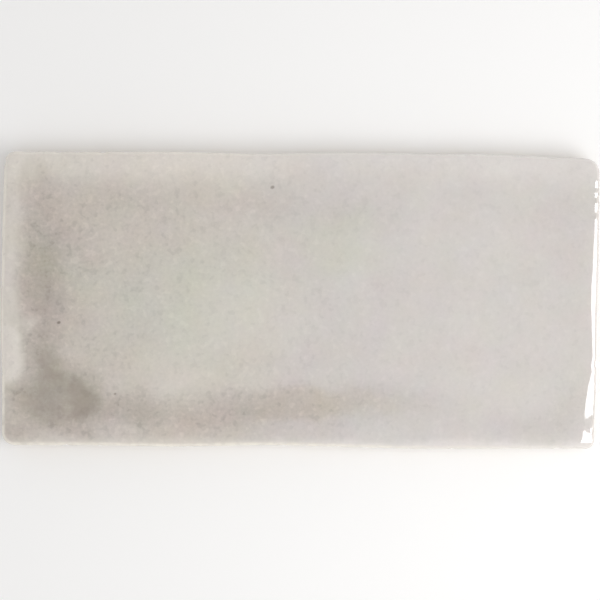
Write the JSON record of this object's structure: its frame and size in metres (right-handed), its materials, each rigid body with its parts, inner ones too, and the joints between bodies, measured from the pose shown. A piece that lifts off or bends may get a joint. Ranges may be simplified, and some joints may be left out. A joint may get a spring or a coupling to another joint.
{
  "type": "ceramic wall tile",
  "caption": "Rectangular glazed ceramic wall tile with hand-trimmed wandering edges, soft corners, a rolled rim and a plain flat back for bonding to a wall.",
  "frame": {"origin": "middle of the flat back, so the tile lies on its back on the XY plane", "axes": "+X along the length, +Y across the width, +Z out of the glazed face"},
  "size_m": [0.15, 0.0743, 0.0085],
  "materials": {
    "glazed_face": "gloss"
  },
  "bodies": {
    "root": {"tile": "glazed_face"}
  },
  "joints": []
}
